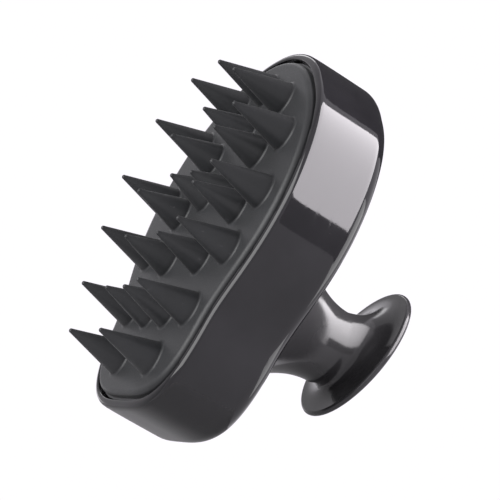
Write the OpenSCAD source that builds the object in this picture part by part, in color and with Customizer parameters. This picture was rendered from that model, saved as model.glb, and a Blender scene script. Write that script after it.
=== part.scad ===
// Hand-held scalp massager brush: an egg-shaped housing with a pliable pad of conical bristles below
// and a mushroom-shaped finger grip above. The brush stands on its longest bristles at z = 0, with
// +X towards the fuller end of the housing and the grip up.

/* [Housing] */
// Length of the housing along X
body_l = 92.9; // [84:0.1:100]
// Width of the housing across its fuller end
body_w = 79.5; // [72:0.5:86]
// Depth of the housing from its rim to its back
body_h = 20; // [18:0.2:24]
// Thickness of the housing wall and back
wall = 2; // [1.6:0.2:2.6]
// Radius of the rounded edge between the wall and the back
back_edge_r = 4; // [2:0.2:5]
// How far the wall leans inwards between the rim and the back
draft = 0.2; // [0:0.1:2]
// How much further the narrow end reaches at the back than at the rim
rear_flare = 0.5; // [0:0.1:2]

/* [Bristles] */
// Length of the bristles of the outer ring
bristle_l = 14.2; // [12:0.1:17]
// How much shorter the second ring is
second_ring_drop = 1.8; // [0:0.1:3]
// How much shorter the bristles in the middle are
middle_drop = 3.8; // [0:0.1:5]
// Radius of a bristle at its root
bristle_root_r = 4.3; // [3.6:0.1:4.6]
// Radius of the blunt end of a bristle
bristle_tip_r = 0.55; // [0.4:0.05:0.9]

/* [Pad and carrier] */
// Gap between the rim of the housing and the pad
pad_gap = 0.9; // [0.5:0.1:1.2]
// Thickness of the pad
pad_t = 2.2; // [1.6:0.1:3]
// Radius of the rounded edge of the pad
pad_edge_r = 1.4; // [0.8:0.1:1.6]
// How far the pad stands out of the rim
pad_proud = 0.8; // [0:0.1:1]
// Thickness of the rigid plate that holds the pad
carrier_t = 2; // [1.6:0.2:3]

/* [Grip] */
// Radius of the grip's disc
disc_r = 18; // [16:0.1:20]
// Thickness of the cap that closes the disc
cap_t = 1.6; // [1.4:0.2:3]
// Height of the middle of the disc above the back of the housing
disc_h = 27.5; // [24:0.1:32]
// Angle that the disc leans towards the narrow end
disc_tilt = 10.5; // [0:0.5:14]
// Place of the disc's middle along X
disc_x = -8.2; // [-12:0.1:0]
// Place of the neck's middle along X
neck_x = -9.9; // [-13:0.1:0]
// Radius of the neck at its narrowest
neck_r = 9.3; // [8:0.1:11]
// Height of the narrowest place above the back of the housing
neck_h = 20.4; // [17:0.1:22]
// Radius of the neck's foot on the back of the housing
foot_r = 21; // [17:0.5:23]
// How late the neck opens out below the disc; 2 is a quarter round
mouth_bluntness = 2.6; // [2:0.1:3]

/* [Screws] */
// Radius of the pilot bores for the carrier screws
pilot_r = 1.1; // [0.9:0.1:1.4]
// Radius of the bore for the grip screw
grip_pilot_r = 1.6; // [1.3:0.1:1.9]

/* [Hidden] */

shell_color = [0.06, 0.055, 0.06];
silicone_color = [0.13, 0.13, 0.14];
carrier_color = [0.2, 0.2, 0.21];
steel_color = [0.72, 0.73, 0.75];

// Levels along Z
face_z = bristle_l;
pad_back_z = face_z + pad_t;
rim_z = face_z + pad_proud;
back_z = rim_z + body_h;
ceiling_z = back_z - wall;
ledge_z = pad_back_z + carrier_t;
disc_z = back_z + disc_h;

// The outline is two lobes run together: a full front lobe and a narrower, blunter rear lobe.
// Where they overlap the sum is a little wider than either, which brings the widest place to body_w.
front_x = 0.074 * body_l;
front_reach = body_l / 2 - front_x;
front_back_reach = 0.3625 * body_l;
front_half_w = 0.484 * body_w;
rear_x = -0.045 * body_l;
rear_reach = body_l / 2 + rear_x;
rear_half_w = 0.378 * body_w;
rear_bluntness = 3.3;
lobe_blend = 6;
outline_step = 5;

rim_edge_r = 0.6;
ledge_w = 1.6;
pad_inset = wall + pad_gap;
carrier_inset = wall + 0.4;
fillet_steps = 5;

// Each bristle is [x, y, how much shorter than the outer ring], with x from the middle of the bristles at
// bristles_x; a y above 0 stands for a mirrored pair
bristles_x = 0.45;
BRISTLE_ROWS = [
    [[35, 0, 0], [31.5, 12.5, 0]],
    [[23.5, 0, second_ring_drop], [17.5, 13, second_ring_drop], [21.5, 23.5, 0]],
    [[7.5, 6, middle_drop], [3, 17, second_ring_drop], [6.5, 27.5, 0]],
    [[-9.5, 10, second_ring_drop], [-7.5, 24, 0]],
    [[-23, 5.7, second_ring_drop], [-22.5, 17.8, 0]],
    [[-35, 10, 0]]
];

SCREW_PLACES = [[29, 19], [29, -19], [-30, 12], [-30, -12]];
screw_head_r = 2.6;
screw_head_h = 1.5;
screw_thread_l = 8;
boss_r = 3.2;
grip_screw_head_r = 3.8;
grip_screw_head_h = 2.6;
grip_screw_l = 12;
washer_r = 5.5;
washer_t = 1;
screw_clearance = 0.3;
neck_floor = 13;
neck_cavity_r = 6.6;
spigot_r = 8.5;
spigot_h = 1.4;
spigot_t = 1.4;
trumpet_r = disc_r - 0.6;
neck_facets = 60;
neck_steps = 9;
bristle_fn = 48;
fine_fn = 96;

// Half width of one lobe at x, where reach is the lobe's half length on that side
function lobe(x, middle, reach, half_w, bluntness) =
    let (u = abs(x - middle) / reach) u >= 1 ? 0 : half_w * pow(1 - pow(u, bluntness), 1 / bluntness);

// Half width of the housing at x: the larger lobe wins, with a soft change from one to the other
function half_width(x) =
    let (
        front = lobe(x, front_x, x > front_x ? front_reach : front_back_reach, front_half_w, 2),
        rear = lobe(x, rear_x, rear_reach, rear_half_w, rear_bluntness)
    ) pow(pow(front, lobe_blend) + pow(rear, lobe_blend), 1 / lobe_blend);

// Points of the housing's outline, anticlockwise from the tip of the fuller end
OUTLINE = [for (a = [0:outline_step:360 - outline_step])
    let (x = body_l / 2 * cos(a)) [x, sign(sin(a)) * half_width(x)]];
OUTLINE_N = len(OUTLINE);

// The outline moved inwards by a distance, square to itself
function inset_outline(d) = [for (i = [0:OUTLINE_N - 1])
    let (
        t = OUTLINE[(i + 1) % OUTLINE_N] - OUTLINE[(i + OUTLINE_N - 1) % OUTLINE_N],
        inward = [-t[1], t[0]] / norm(t)
    ) OUTLINE[i] + d * inward];

// Rings for a rounded edge: [z, inset] from a flat face at z round to a wall; up is 1 or -1
function edge_rings(z, inset, r, up) = [for (i = [0:fillet_steps])
    let (a = 90 * i / fillet_steps) [z + up * r * (1 - cos(a)), inset + r * (1 - sin(a))]];

function reversed(list) = [for (i = [len(list) - 1:-1:0]) list[i]];

// A closed solid through rings of points, all with the same number of points, from bottom to top
module skin(rings) {
    n = len(rings[0]);
    top = len(rings) - 1;
    polyhedron(
        points = [for (ring = rings) each ring],
        faces = concat(
            [[for (j = [0:n - 1]) j]],
            [for (k = [0:top - 1], j = [0:n - 1])
                let (a = k * n, b = a + n, i = (j + 1) % n) each [[a + j, b + j, b + i], [a + j, b + i, a + i]]],
            [[for (j = [n - 1:-1:0]) top * n + j]]
        )
    );
}

// How far a point at x leans towards the narrow end at height z, for a given reach at the back
function flared(x, z, reach) = x > 0 ? x : x - reach * (z - rim_z) / body_h * pow(2 * x / body_l, 2);

// A solid with the housing's outline, given as a list of [z, inset]
module egg_loft(profile, reach = 0) {
    skin([for (p = profile) [for (q = inset_outline(p[1])) [flared(q[0], p[0], reach), q[1], p[0]]]]);
}

// A straight solid with the housing's outline
module egg_slab(z, h, inset) {
    translate([0, 0, z]) linear_extrude(h) polygon(inset_outline(inset));
}

module at_screws(z) {
    for (p = SCREW_PLACES) translate([p[0], p[1], z]) children();
}

// Shell with a rounded back, a ledge for the carrier and a boss over each carrier screw
module housing() color(shell_color) {
    difference() {
        egg_loft(concat(
            edge_rings(rim_z, 0, rim_edge_r, 1),
            reversed(edge_rings(back_z, draft, back_edge_r, -1))
        ), rear_flare);
        egg_slab(rim_z - 1, ledge_z - rim_z + 1, wall);
        egg_slab(ledge_z - 1, ceiling_z - ledge_z + 1, wall + ledge_w);
        translate([neck_x, 0, ceiling_z - 1]) cylinder(r = grip_pilot_r + screw_clearance, h = wall + 2, $fn = 32);
    }
    at_screws(ledge_z) difference() {
        cylinder(r = boss_r, h = ceiling_z - ledge_z, $fn = 32);
        translate([0, 0, -1]) cylinder(r = pilot_r, h = screw_thread_l + 1, $fn = 24);
    }
}

// Soft sheet that the bristles stand on
module bristle_pad() color(silicone_color)
    egg_loft(concat(edge_rings(face_z, pad_inset, pad_edge_r, 1), [[pad_back_z, pad_inset]]));

module bristle(x, y, drop) {
    translate([x + bristles_x, y, drop])
        cylinder(r1 = bristle_tip_r, r2 = bristle_root_r, h = bristle_l - drop, $fn = bristle_fn);
}

// One row of bristles across the pad, with the mirrored half of each pair
module bristle_row(i) color(silicone_color)
    for (b = BRISTLE_ROWS[i]) {
        bristle(b[0], b[1], b[2]);
        if (b[1] > 0) bristle(b[0], -b[1], b[2]);
    }

// Rigid plate that the pad is moulded over, with a countersunk hole for each screw
module pad_carrier() color(carrier_color)
    difference() {
        egg_slab(pad_back_z, carrier_t, carrier_inset);
        at_screws(pad_back_z - 1) cylinder(r = pilot_r + screw_clearance, h = carrier_t + 2, $fn = 24);
        at_screws(pad_back_z - 1) cylinder(r = screw_head_r + screw_clearance, h = screw_head_h + 1, $fn = 32);
    }

module carrier_screws() color(steel_color)
    at_screws(pad_back_z) {
        cylinder(r = screw_head_r, h = screw_head_h, $fn = 32);
        cylinder(r = pilot_r, h = screw_thread_l, $fn = 24);
    }

// Radius of the neck's skin at a height above the back, up to the trumpet's mouth
function foot_radius(h) = neck_r + (foot_r - neck_r) * pow((neck_h - h) / neck_h, 2);
function trumpet_radius(u) = neck_r + (trumpet_r - neck_r) * (1 - pow(1 - pow(u, mouth_bluntness), 1 / mouth_bluntness));

// One ring of the neck; u runs from 0 at the narrowest place to 1 at the mouth, where it leans fully
function neck_ring(h, r, u) =
    let (
        lean = disc_tilt * u,
        mouth_x = disc_x + cap_t / 2 * sin(disc_tilt),
        x = neck_x + (mouth_x - neck_x) * u
    ) [for (j = [0:neck_facets - 1])
        let (a = 360 * j / neck_facets)
        [x + r * cos(a) * cos(lean), r * sin(a), back_z + h + r * cos(a) * sin(lean)]];

// Flared neck with a blind bore for the grip screw and a hollow mouth under the cap
module grip_neck() color(shell_color) {
    mouth_h = disc_h - cap_t / 2 * cos(disc_tilt);
    difference() {
        skin(concat(
            [for (i = [0:neck_steps - 1]) let (h = neck_h * i / neck_steps) neck_ring(h, foot_radius(h), 0)],
            [for (i = [0:neck_steps]) let (u = sin(90 * i / neck_steps))
                neck_ring(neck_h + (mouth_h - neck_h) * u, trumpet_radius(u), u)]
        ));
        translate([neck_x, 0, back_z - 1]) cylinder(r = grip_pilot_r, h = grip_screw_l, $fn = 32);
        translate([neck_x, 0, back_z + neck_floor]) cylinder(r = neck_cavity_r, h = neck_h, $fn = 48);
        disc_place() translate([0, 0, -cap_t / 2 - spigot_h - 0.4]) cylinder(r = spigot_r, h = spigot_h + 2, $fn = 64);
    }
}

// Moves to the middle of the leaning disc
module disc_place() {
    translate([disc_x, 0, disc_z]) rotate([0, -disc_tilt, 0]) children();
}

// Round-edged cap that closes the disc, with a short spigot inside the mouth of the neck
module grip_cap() color(shell_color)
    disc_place() {
        rotate_extrude($fn = fine_fn) {
            translate([0, -cap_t / 2]) square([disc_r - cap_t / 2, cap_t]);
            difference() {
                translate([disc_r - cap_t / 2, 0]) circle(r = cap_t / 2, $fn = fine_fn);
                translate([disc_r - 2 * cap_t, -cap_t]) square([1.5 * cap_t, 2 * cap_t]);
            }
        }
        translate([0, 0, -cap_t / 2 - spigot_h]) difference() {
            cylinder(r = spigot_r - 0.2, h = spigot_h, $fn = 64);
            translate([0, 0, -1]) cylinder(r = spigot_r - 0.2 - spigot_t, h = spigot_h + 1, $fn = 64);
        }
    }

// Screw that holds the neck from inside the housing
module grip_screw() color(steel_color)
    translate([neck_x, 0, ceiling_z - washer_t]) {
        translate([0, 0, -grip_screw_head_h]) cylinder(r = grip_screw_head_r, h = grip_screw_head_h, $fn = 48);
        cylinder(r = grip_pilot_r, h = grip_screw_l, $fn = 32);
    }

module grip_washer() color(steel_color)
    translate([neck_x, 0, ceiling_z - washer_t]) difference() {
        cylinder(r = washer_r, h = washer_t, $fn = 48);
        translate([0, 0, -1]) cylinder(r = grip_pilot_r + 0.15, h = washer_t + 2, $fn = 32);
    }

// The flare makes one end longer, so the whole brush moves to stay centred
translate([rear_flare / 2, 0, 0]) {
    housing();
    bristle_pad();
    bristle_row(0);  // bristle_row_1
    bristle_row(1);  // bristle_row_2
    bristle_row(2);  // bristle_row_3
    bristle_row(3);  // bristle_row_4
    bristle_row(4);  // bristle_row_5
    bristle_row(5);  // bristle_row_6
    pad_carrier();
    carrier_screws();
    grip_neck();
    grip_cap();
    grip_screw();
    grip_washer();
}
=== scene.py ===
"""Looks of the scalp massager brush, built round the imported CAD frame. Its own sizes are in millimetres."""

import math

import bpy
from mathutils import Matrix, Vector


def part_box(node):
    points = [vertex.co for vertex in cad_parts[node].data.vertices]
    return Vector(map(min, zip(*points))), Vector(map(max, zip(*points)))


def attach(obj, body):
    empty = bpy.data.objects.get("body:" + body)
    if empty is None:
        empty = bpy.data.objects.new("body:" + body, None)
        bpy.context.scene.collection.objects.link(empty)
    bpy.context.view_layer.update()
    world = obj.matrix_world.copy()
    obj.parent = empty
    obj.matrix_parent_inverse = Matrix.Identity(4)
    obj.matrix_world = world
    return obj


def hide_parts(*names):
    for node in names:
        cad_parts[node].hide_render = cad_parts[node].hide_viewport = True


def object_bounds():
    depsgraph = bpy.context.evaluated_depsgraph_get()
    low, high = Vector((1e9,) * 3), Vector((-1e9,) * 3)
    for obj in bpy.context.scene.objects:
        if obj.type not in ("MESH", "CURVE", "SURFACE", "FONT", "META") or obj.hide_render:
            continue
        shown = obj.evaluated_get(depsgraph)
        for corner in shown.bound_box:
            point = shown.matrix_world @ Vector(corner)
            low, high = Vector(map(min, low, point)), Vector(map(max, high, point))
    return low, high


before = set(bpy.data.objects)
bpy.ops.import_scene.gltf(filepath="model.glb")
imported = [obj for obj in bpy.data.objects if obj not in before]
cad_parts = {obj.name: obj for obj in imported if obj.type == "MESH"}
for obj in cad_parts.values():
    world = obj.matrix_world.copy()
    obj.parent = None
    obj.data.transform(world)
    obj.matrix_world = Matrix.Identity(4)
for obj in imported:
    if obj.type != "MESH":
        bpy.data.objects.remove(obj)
cad_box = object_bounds()

MM = 0.001

# ---- Driving sizes, as in the CAD source (mm, degrees) ----
housing_lo, housing_hi = (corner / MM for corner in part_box("housing"))
body_l = 92.9
body_w = 79.5
rear_flare = 0.5
rim_z = housing_lo.z
back_z = housing_hi.z
wall = 2.0
back_edge_r = 4.0
draft = 0.2

bristle_l = 14.2
second_ring_drop = 1.8
middle_drop = 3.8
bristle_root_r = 4.3
bristle_tip_r = 0.55

pad_gap = 0.9
pad_t = 2.2
pad_edge_r = 1.4
carrier_t = 2.0
ledge_w = 1.6

disc_r = 18.0
cap_t = 1.6
disc_h = 27.5
disc_tilt = math.radians(10.5)
disc_x = -8.2
neck_x = -9.9
neck_r = 9.3
neck_h = 20.4
foot_r = 21.0
mouth_bluntness = 2.6
mouth_inset = 0.6

# ---- Fine shapes that only the looks need (mm) ----
lip_outer_r = 1.5
lip_inner_r = 0.45
wall_bulge_h = 2.0
wall_bulge = 0.05
root_fillet_r = 0.6
pad_back_chamfer = 0.2

# Insets of the extra rings inside an edge that keep the shading of a flat face flat
edge_ring = 0.5
back_edge_ring = 0.6
face_ring = 3.0
wide_ring = 6.0

face_z = bristle_l
pad_back_z = face_z + pad_t
ledge_z = pad_back_z + carrier_t
ceiling_z = back_z - wall
disc_z = back_z + disc_h

# The whole brush is moved by half of the narrow end's flare, as in the CAD
center_shift = Vector((rear_flare / 2, 0, 0))

# The outline is two superellipses run together: a wide front lobe and a blunt rear lobe
front_x = 0.074 * body_l
front_reach = body_l / 2 - front_x
front_back_reach = 0.3625 * body_l
front_half_w = 0.484 * body_w
rear_x = -0.045 * body_l
rear_reach = body_l / 2 + rear_x
rear_half_w = 0.378 * body_w
rear_bluntness = 3.3
lobe_blend = 6

OUTLINE_N = 288
ROUND_N = 128
SHARP_ANGLE = math.radians(50)

# (x, y, how much shorter than the outer ring), with x from bristles_x; y above 0 is a mirrored pair
bristles_x = 0.45
BRISTLE_ROWS = [
    [(35, 0, 0), (31.5, 12.5, 0)],
    [(23.5, 0, second_ring_drop), (17.5, 13, second_ring_drop), (21.5, 23.5, 0)],
    [(7.5, 6, middle_drop), (3, 17, second_ring_drop), (6.5, 27.5, 0)],
    [(-9.5, 10, second_ring_drop), (-7.5, 24, 0)],
    [(-23, 5.7, second_ring_drop), (-22.5, 17.8, 0)],
    [(-35, 10, 0)],
]


# ---- Mesh helpers ----
def skin(name, rings, start, end=None):
    """A smooth mesh through rings of points; start and end are the middles of its closing fans."""
    n = len(rings[0])
    verts = [p for ring in rings for p in ring]
    faces = []
    for k in range(len(rings) - 1):
        for j in range(n):
            i = (j + 1) % n
            faces.append((k * n + j, k * n + i, (k + 1) * n + i, (k + 1) * n + j))
    verts.append(start)
    faces += [((j + 1) % n, j, len(verts) - 1) for j in range(n)]
    if end is not None:
        verts.append(end)
        last = (len(rings) - 1) * n
        faces += [(last + j, last + (j + 1) % n, len(verts) - 1) for j in range(n)]
    mesh = bpy.data.meshes.new(name)
    mesh.from_pydata([(v + center_shift) * MM for v in verts], [], faces)
    mesh.polygons.foreach_set("use_smooth", [True] * len(mesh.polygons))
    mesh.set_sharp_from_angle(angle=SHARP_ANGLE)
    obj = bpy.data.objects.new(name, mesh)
    bpy.context.scene.collection.objects.link(obj)
    return obj


def arc(steps, start=0.0, stop=90.0):
    """(cos, sin) at even steps between two angles in degrees."""
    angles = [math.radians(start + (stop - start) * i / steps) for i in range(steps + 1)]
    return [(math.cos(a), math.sin(a)) for a in angles]


def lobe(x, middle, reach, half_w, bluntness):
    """Half width at x of a superellipse round middle."""
    u = abs(x - middle) / reach
    return 0.0 if u >= 1 else half_w * (1 - u**bluntness) ** (1 / bluntness)


def half_width(x):
    """Half width of the outline at x."""
    front = lobe(x, front_x, front_reach if x > front_x else front_back_reach, front_half_w, 2)
    rear = lobe(x, rear_x, rear_reach, rear_half_w, rear_bluntness)
    return (front**lobe_blend + rear**lobe_blend) ** (1 / lobe_blend)


def outline_points():
    """Points of the housing's outline, anticlockwise, with the way inwards at each."""
    points = []
    for k in range(OUTLINE_N):
        a = 2 * math.pi * k / OUTLINE_N
        x = body_l / 2 * math.cos(a)
        points.append(Vector((x, math.copysign(half_width(x), math.sin(a)), 0)))
    inward = []
    for k in range(OUTLINE_N):
        along = points[(k + 1) % OUTLINE_N] - points[k - 1]
        inward.append(Vector((-along.y, along.x, 0)).normalized())
    return list(zip(points, inward))


OUTLINE = outline_points()


def egg_ring(z, inset, reach=0.0):
    """The outline at height z, moved inwards; towards the back its narrow end reaches further out."""
    ring = []
    for p, i in OUTLINE:
        q = p + inset * i
        if q.x < 0:
            q.x -= reach * (z - rim_z) / (back_z - rim_z) * (2 * q.x / body_l) ** 2
        ring.append(Vector((q.x, q.y, z)))
    return ring


def egg_skin(name, profile):
    """A closed solid with the housing's outline through a list of (z, inset) or (z, inset, reach)."""
    rings = [egg_ring(*level) for level in profile]
    return skin(name, rings, Vector((0, 0, profile[0][0])), Vector((0, 0, profile[-1][0])))


def turned(radii, place):
    """Rings of a turned shape from (radius, height) pairs, moved by place."""
    circle = arc(ROUND_N, 0, 360)[:-1]
    return [[place @ Vector((r * c, r * s, h)) for c, s in circle] for r, h in radii]


# ---- Housing: ceiling, inner wall with its ledge, rim lip, outer wall and rounded back ----
def housing_profile():
    lip_z = rim_z + lip_inner_r
    inner = [
        (ceiling_z, wall + ledge_w + wide_ring),
        (ceiling_z, wall + ledge_w),
        (ledge_z, wall + ledge_w),
        (ledge_z, wall),
        (lip_z, wall),
    ]
    inner_lip = [(lip_z - lip_inner_r * s, wall - lip_inner_r * (1 - c)) for c, s in arc(10)][1:]
    outer_lip = [
        (rim_z + lip_outer_r * (1 - s), wall_bulge + lip_outer_r * (1 - c)) for c, s in arc(8, 90, 0)
    ]
    bulge_z = rim_z + lip_outer_r
    bulge = [
        (bulge_z + wall_bulge_h * t, wall_bulge * (1 - t) ** 2) for t in (0.1 * i for i in range(1, 11))
    ]
    side_z = bulge_z + wall_bulge_h
    edge_z = back_z - back_edge_r
    sides = [(side_z + (edge_z - side_z) * t, draft * t**1.5) for t in (i / 8 for i in range(1, 9))]
    edge = [(edge_z + back_edge_r * s, draft + back_edge_r * (1 - c)) for c, s in arc(14)][1:]
    back_inset = draft + back_edge_r
    back = [(back_z, back_inset + back_edge_ring), (back_z, back_inset + face_ring)]
    outer = [(z, inset, rear_flare) for z, inset in bulge + sides + edge + back]
    return inner + inner_lip + outer_lip + outer


housing = egg_skin("housing_shell", housing_profile())
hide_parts("housing")

# ---- Pad: rounded edge, flat face, flat back ----
pad_inset = wall + pad_gap
pad_profile = [(face_z, pad_inset + pad_edge_r + ring) for ring in (face_ring, edge_ring)]
pad_profile += [
    (face_z + pad_edge_r * (1 - s), pad_inset + pad_edge_r * (1 - c)) for c, s in arc(12, 90, 0)
]
pad_profile += [
    (pad_back_z - pad_back_chamfer, pad_inset),
    (pad_back_z, pad_inset + pad_back_chamfer),
    (pad_back_z, pad_inset + face_ring),
]
pad = egg_skin("pad_sheet", pad_profile)
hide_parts("bristle_pad")


# ---- Bristles: blunt round tip, straight cone, small fillet where it meets the pad ----
def bristle_radii(length):
    """(radius, height) pairs of one bristle, from its tip to its root."""
    lean = math.atan((bristle_root_r - bristle_tip_r) / length)
    tip = [(bristle_tip_r * c, bristle_tip_r * (1 + s)) for c, s in arc(8, -84, 0)]
    top = length - root_fillet_r
    cone = []
    for t in (i / 12 for i in range(1, 13)):
        h = tip[-1][1] + (top - tip[-1][1]) * t
        growth = (bristle_root_r - bristle_tip_r) * (h - bristle_tip_r) / (length - bristle_tip_r)
        cone.append((bristle_tip_r + growth, h))
    root = cone[-1][0]
    fillet = [
        (root + root_fillet_r * (1 - c) * (1 + lean), top + root_fillet_r * s) for c, s in arc(8)
    ][1:]
    return tip + cone + fillet


def bristle_row(number, row):
    """One row of bristles, joined into a single piece."""
    pieces = []
    for x, y, drop in row:
        for side in (1, -1) if y > 0 else (1,):
            tip = Vector((bristles_x + x, side * y, drop))
            rings = turned(bristle_radii(bristle_l - drop), Matrix.Translation(tip))
            pieces.append(skin(f"bristle_{number}_{len(pieces)}", rings, tip))
    with bpy.context.temp_override(
        active_object=pieces[0],
        object=pieces[0],
        selected_objects=pieces,
        selected_editable_objects=pieces,
    ):
        bpy.ops.object.join()
    pieces[0].name = f"bristles_{number}"
    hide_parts(f"bristle_row_{number}")
    return pieces[0]


bristles = [bristle_row(i + 1, row) for i, row in enumerate(BRISTLE_ROWS)]

# ---- Grip neck: flared foot, narrow waist, trumpet mouth that leans with the disc ----
mouth_h = disc_h - cap_t / 2 * math.cos(disc_tilt)
mouth_x = disc_x + cap_t / 2 * math.sin(disc_tilt)
trumpet_r = disc_r - mouth_inset


def neck_ring(h, r, u):
    """A ring of the neck at height h over the back, from upright (u = 0) to the disc's lean (u = 1)."""
    lean = disc_tilt * u
    x = neck_x + (mouth_x - neck_x) * u
    return [
        Vector((x + r * c * math.cos(lean), r * s, back_z + h + r * c * math.sin(lean)))
        for c, s in arc(ROUND_N, 0, 360)[:-1]
    ]


neck_steps = 36
neck_rings = []
for k in range(neck_steps):
    h = neck_h * k / neck_steps
    neck_rings.append(neck_ring(h, neck_r + (foot_r - neck_r) * ((neck_h - h) / neck_h) ** 2, 0))
for k in range(neck_steps + 1):
    u = math.sin(math.pi / 2 * k / neck_steps)
    r = neck_r + (trumpet_r - neck_r) * (1 - max(0.0, 1 - u**mouth_bluntness) ** (1 / mouth_bluntness))
    neck_rings.append(neck_ring(neck_h + (mouth_h - neck_h) * u, r, u))
neck = skin(
    "neck_skin", neck_rings, Vector((neck_x, 0, back_z)), Vector((mouth_x, 0, back_z + mouth_h))
)
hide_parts("grip_neck")

# ---- Grip cap: round-edged disc ----
cap_place = Matrix.Translation((disc_x, 0, disc_z)) @ Matrix.Rotation(-disc_tilt, 4, "Y")
cap_half = cap_t / 2
flat_r = disc_r - cap_half
cap_radii = [(flat_r - wide_ring, -cap_half), (flat_r - edge_ring, -cap_half)]
cap_radii += [(flat_r + cap_half * c, cap_half * s) for c, s in arc(24, -90, 90)]
cap_radii += [(flat_r - edge_ring, cap_half), (flat_r - wide_ring, cap_half)]
cap = skin(
    "cap_skin",
    turned(cap_radii, cap_place),
    cap_place @ Vector((0, 0, -cap_half)),
    cap_place @ Vector((0, 0, cap_half)),
)
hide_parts("grip_cap")


# ---- Materials: depths of bumps in metres, scales of noise in cells per metre ----
wave_depth = 0.00012
scratch_depth = 0.000006
grain_depth = 0.00004
pit_depth = 0.00002
spark_depth = 0.00005
turning_depth = 0.00001
abs_ior = 1.41
silicone_ior = 1.42


class Nodes:
    """A material's node tree, with short ways to add and link nodes."""

    def __init__(self, name):
        self.material = bpy.data.materials.new(name)
        self.material.use_nodes = True
        self.tree = self.material.node_tree
        self.shader = self.tree.nodes["Principled BSDF"]
        self.place = self.add("ShaderNodeTexCoord").outputs["Object"]

    def add(self, kind, **values):
        node = self.tree.nodes.new(kind)
        for key, value in values.items():
            setattr(node, key, value)
        return node

    def link(self, a, b):
        self.tree.links.new(a, b)

    def stretched(self, scale, turn=(0, 0, 0)):
        """Object coordinates scaled along each axis and turned by degrees."""
        node = self.add("ShaderNodeMapping")
        node.inputs["Scale"].default_value = scale
        node.inputs["Rotation"].default_value = [math.radians(a) for a in turn]
        self.link(self.place, node.inputs["Vector"])
        return node.outputs["Vector"]

    def noise(self, scale, detail=3.0, roughness=0.5, vector=None):
        node = self.add("ShaderNodeTexNoise")
        node.inputs["Scale"].default_value = scale
        node.inputs["Detail"].default_value = detail
        node.inputs["Roughness"].default_value = roughness
        self.link(vector or self.place, node.inputs["Vector"])
        return node.outputs["Fac"]

    def map(self, value, lo, hi, to_lo, to_hi):
        """A value with the range lo to hi brought to the range to_lo to to_hi."""
        node = self.add("ShaderNodeMapRange")
        for key, number in (("From Min", lo), ("From Max", hi), ("To Min", to_lo), ("To Max", to_hi)):
            node.inputs[key].default_value = number
        self.link(value, node.inputs["Value"])
        return node.outputs["Result"]

    def math(self, operation, a, b):
        node = self.add("ShaderNodeMath", operation=operation)
        for value, socket in ((a, node.inputs[0]), (b, node.inputs[1])):
            if isinstance(value, (int, float)):
                socket.default_value = value
            else:
                self.link(value, socket)
        return node.outputs["Value"]

    def colors(self, value, *stops):
        """A colour ramp through (position, colour) stops."""
        node = self.add("ShaderNodeValToRGB")
        ramp = node.color_ramp
        while len(ramp.elements) < len(stops):
            ramp.elements.new(0.5)
        for element, (position, color) in zip(ramp.elements, stops):
            element.position = position
            element.color = (*color, 1)
        self.link(value, node.inputs["Fac"])
        return node.outputs["Color"]

    def bump(self, height, distance, strength=1.0, under=None):
        node = self.add("ShaderNodeBump")
        node.inputs["Distance"].default_value = distance
        node.inputs["Strength"].default_value = strength
        self.link(height, node.inputs["Height"])
        if under:
            self.link(under, node.inputs["Normal"])
        return node.outputs["Normal"]

    def set(self, **values):
        """Sets the shader's inputs: a node's output is linked, anything else is set on the socket."""
        for key, value in values.items():
            socket = self.shader.inputs[key.replace("_", " ")]
            if hasattr(value, "is_linked"):
                self.link(value, socket)
            else:
                socket.default_value = value


def gloss_abs(name, rough_lo, rough_hi, painted_lift):
    """Black ABS: slight flow waves, hairline scratches, dust and finger haze in the gloss. The last argument
    lightens the base colour as painted light.
    """
    m = Nodes(name)
    haze = m.noise(60, 4, 0.6)
    scratch_a = m.noise(900, 2, 0.4, m.stretched((0.03, 1, 1), (20, 10, 35)))
    scratch_b = m.noise(1100, 2, 0.4, m.stretched((1, 0.03, 1), (0, 40, -20)))
    dust = m.map(m.noise(2600, 1, 0.3), 0.74, 0.80, 0, 1)
    scratches = m.math("ADD", m.map(scratch_a, 0.66, 0.72, 0, 1), m.map(scratch_b, 0.67, 0.73, 0, 1))
    rough = m.map(haze, 0.3, 0.75, rough_lo, rough_hi)
    rough = m.math("ADD", rough, m.math("MULTIPLY", scratches, 0.05))
    rough = m.math("ADD", rough, m.math("MULTIPLY", dust, 0.08))
    tone = m.math("ADD", haze, m.math("MULTIPLY", dust, 0.2))
    waves = m.bump(m.noise(45, 2, 0.4), wave_depth, 0.35)
    m.set(
        Base_Color=m.colors(
            tone,
            (0.3, (0.0045 + painted_lift, 0.0043 + painted_lift, 0.005 + painted_lift)),
            (0.75, (0.0075 + painted_lift, 0.0072 + painted_lift, 0.0082 + painted_lift)),
            (1, (0.03, 0.03, 0.032)),
        ),
        Roughness=rough,
        IOR=abs_ior,
        Normal=m.bump(scratches, scratch_depth, 0.3, waves),
    )
    return m.material


def soft_silicone():
    """Dark satin silicone: fine moulded grain, cloudy tone and a light film of dust."""
    m = Nodes("soft_silicone")
    cloud = m.noise(90, 4, 0.55)
    grain = m.noise(2400, 3, 0.6)
    pits = m.noise(5200, 2, 0.5)
    lint = m.map(m.noise(1500, 2, 0.4, m.stretched((1, 0.25, 0.6), (30, 20, 50))), 0.68, 0.76, 0, 1)
    tone = m.math("ADD", m.map(cloud, 0.3, 0.7, 0.15, 0.6), m.math("MULTIPLY", lint, 0.35))
    m.set(
        Base_Color=m.colors(
            tone,
            (0, (0.007, 0.0075, 0.008)),
            (0.6, (0.0112, 0.012, 0.0132)),
            (1, (0.035, 0.035, 0.038)),
        ),
        Roughness=m.map(grain, 0.3, 0.7, 0.4, 0.52),
        IOR=silicone_ior,
        Sheen_Weight=0.04,
        Sheen_Roughness=0.45,
        Normal=m.bump(pits, pit_depth, 0.35, m.bump(grain, grain_depth, 0.4)),
    )
    return m.material


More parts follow.
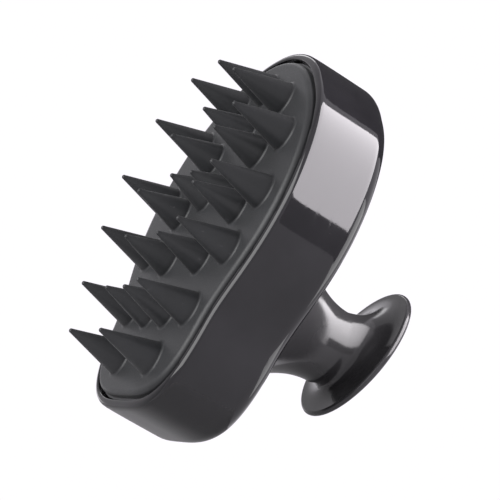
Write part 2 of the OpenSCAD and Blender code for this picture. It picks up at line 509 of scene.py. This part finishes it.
def matt_abs():
    """Spark-eroded dark ABS of the hidden carrier."""
    m = Nodes("matt_abs")
    grain = m.noise(1800, 3, 0.6)
    cloud = m.noise(70, 3)
    m.set(
        Base_Color=m.colors(cloud, (0.3, (0.028, 0.028, 0.03)), (0.7, (0.045, 0.045, 0.048))),
        Roughness=m.map(grain, 0.3, 0.7, 0.5, 0.7),
        Normal=m.bump(grain, spark_depth, 0.6),
    )
    return m.material


def turned_steel():
    """Zinc-bright steel with fine turning marks and dull patches."""
    m = Nodes("turned_steel")
    marks = m.noise(2400, 2, 0.5, m.stretched((0.1, 0.1, 6)))
    dull = m.noise(160, 3)
    m.set(
        Base_Color=m.colors(dull, (0.3, (0.45, 0.46, 0.48)), (0.7, (0.6, 0.61, 0.62))),
        Metallic=1.0,
        Roughness=m.map(m.math("ADD", marks, dull), 0.7, 1.3, 0.22, 0.42),
        Normal=m.bump(marks, turning_depth, 0.5),
    )
    return m.material


def dress(obj, material):
    """Gives a piece its material and the brush's one body."""
    obj.data.materials.clear()
    obj.data.materials.append(material)
    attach(obj, "root")


wall_black = gloss_abs("wall_abs", 0.035, 0.09, 0.0)
# The grip is the same black ABS as the wall, painted lighter in its base colour: painted light on the disc
# and the neck
grip_black = gloss_abs("grip_abs", 0.12, 0.19, 0.009)
silicone = soft_silicone()
dress(housing, wall_black)
for piece in (neck, cap):
    dress(piece, grip_black)
for piece in (pad, *bristles):
    dress(piece, silicone)
matt = matt_abs()
steel = turned_steel()
inner_looks = {"pad_carrier": matt, "carrier_screws": steel, "grip_screw": steel, "grip_washer": steel}
for node, material in inner_looks.items():
    for material_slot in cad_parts[node].material_slots:
        material_slot.material = material


# ---- Stage: pale floor far below, so that it is out of the way of the low camera ----
def direction(azimuth, elevation):
    """Unit vector at an azimuth from +X towards +Y and an elevation above the horizon, in degrees."""
    a, e = math.radians(azimuth), math.radians(elevation)
    return Vector((math.cos(a) * math.cos(e), math.sin(a) * math.cos(e), math.sin(e)))


def aimed(back, roll=0.0):
    """Rotation that looks along minus back, level, then rolled anticlockwise by degrees."""
    right = Vector((0, 0, 1)).cross(back).normalized()
    up = back.cross(right)
    level = Matrix((right, up, back)).transposed()
    return (level @ Matrix.Rotation(math.radians(roll), 3, "Z")).to_4x4()


def plane(name, middle, back, width, height, color, far_color=None):
    """A rectangle facing back. With a far_color, its colour changes from its left side to its middle."""
    mesh = bpy.data.meshes.new(name)
    w, h = width / 2, height / 2
    mesh.from_pydata([(-w, -h, 0), (w, -h, 0), (w, h, 0), (-w, h, 0)], [], [(0, 1, 2, 3)])
    obj = bpy.data.objects.new(name, mesh)
    lies_flat = abs(back.z) > 0.99
    obj.matrix_world = Matrix.Translation(middle) @ (Matrix.Identity(4) if lies_flat else aimed(back))
    bpy.context.scene.collection.objects.link(obj)
    m = Nodes(name)
    if far_color is None:
        shade = m.colors(m.noise(30, 3), (0.3, color), (0.7, [c * 0.97 for c in color]))
    else:
        across = m.add("ShaderNodeSeparateXYZ")
        m.link(m.place, across.inputs["Vector"])
        shade = m.colors(m.map(across.outputs["X"], -w, 0, 0, 1), (0, color), (1, far_color))
    m.set(Base_Color=shade, Roughness=0.85, Specular_IOR_Level=0.1)
    obj.data.materials.append(m.material)
    return obj


floor_z = -0.8
floor_size = 8
plane("floor", Vector((0, 0, floor_z)), Vector((0, 0, 1)), floor_size, floor_size, (0.86, 0.86, 0.86))

# Lights and cards are aimed at the middle of the brush, from distances in metres
brush_middle = (cad_box[0] + cad_box[1]) / 2
light_distance = 0.7
card_distance = 0.55


def softbox(name, azimuth, elevation, width, height, radiance, distance=light_distance, tint=(1, 1, 1)):
    """An area light aimed at the brush from a direction, of a given size (m) and brightness."""
    light = bpy.data.lights.new(name, "AREA")
    light.shape = "RECTANGLE"
    light.size, light.size_y = width, height
    light.energy = radiance * math.pi * width * height
    light.color = tint
    obj = bpy.data.objects.new(name, light)
    back = direction(azimuth, elevation)
    obj.matrix_world = Matrix.Translation(brush_middle + back * distance) @ aimed(back)
    obj.visible_camera = False
    bpy.context.scene.collection.objects.link(obj)
    return obj


def flag(name, azimuth, elevation, width, height, grey, far_grey=None):
    """A grey card aimed at the brush, which only shows in reflections."""
    back = direction(azimuth, elevation)
    far_color = None if far_grey is None else [far_grey] * 3
    card = plane(name, brush_middle + back * card_distance, back, width, height, [grey] * 3, far_color)
    card.visible_camera = False
    card.visible_diffuse = False
    card.visible_shadow = False
    return card


def lights_only(light, name, pieces):
    """Keeps a light to a few pieces."""
    lit = bpy.data.collections.new(name)
    for piece in pieces:
        lit.objects.link(piece)
    light.light_linking.receiver_collection = lit


# The window for the side wall and the cap ends lower than the neck's, which also fades at its edges
window = softbox("window", 39, 9, 1.06, 0.9, 12, tint=(1.0, 0.955, 1.0))
lights_only(window, "wall_pieces", [housing, cap])
neck_window = softbox("neck_window", 32, 28, 1.35, 1.6, 6.2, tint=(1.0, 0.965, 0.995))
neck_window.data.spread = math.radians(130)
lights_only(neck_window, "neck_pieces", [neck])
# A faint light from the far side, for the rim, the pad and the bristles
sheet = softbox("sheet", -77, -19, 0.7, 0.5, 0.45)
lights_only(sheet, "pad_pieces", [housing, pad, *bristles])
# A strip of light for the rounded edge of the back
strip = softbox("strip", 72, 70, 0.55, 0.45, 3)
lights_only(strip, "edge_pieces", [housing])
# These two light every piece: one from under the bristles, a narrow one from beside the wide end
softbox("below", 103, -78, 0.62, 0.62, 5.5, distance=0.6)
softbox("edge", -50, 13, 0.25, 0.5, 1.5)
# Cards that the gloss mirrors in place of the white surroundings
flag("card_side", 88, 25, 0.19, 0.6, grey=0.25)
flag("card_behind", -85, -44, 1.9, 0.75, grey=0.45)
flag("card_front", -36, 24, 0.62, 0.5, grey=0.04)
flag("card_rear", -150, 22, 1.6, 0.7, grey=0.9, far_grey=0.3)

world = bpy.data.worlds.new("studio")
world.use_nodes = True
world.node_tree.nodes["Background"].inputs["Color"].default_value = (1.03, 1, 1.06, 1)
world.node_tree.nodes["Background"].inputs["Strength"].default_value = 1.0
bpy.context.scene.world = world
bpy.context.scene.view_settings.view_transform = "Standard"

# ---- Camera: low, on the bristle side, rolled so that the grip points to the lower right ----
camera_azimuth = 103.4
camera_elevation = -19.4
camera_roll = 120.5
camera_distance = 0.5735
camera_aim = Vector((-0.03, 3.86, 25.94)) * MM

camera_data = bpy.data.cameras.new("camera")
camera_data.lens = 180
camera_data.sensor_width = 36
camera_data.clip_start, camera_data.clip_end = 0.01, 20
camera = bpy.data.objects.new("camera", camera_data)
bpy.context.scene.collection.objects.link(camera)
camera_back = direction(camera_azimuth, camera_elevation)
camera.matrix_world = Matrix.Translation(camera_aim + camera_back * camera_distance) @ aimed(
    camera_back, camera_roll
)
bpy.context.scene.camera = camera
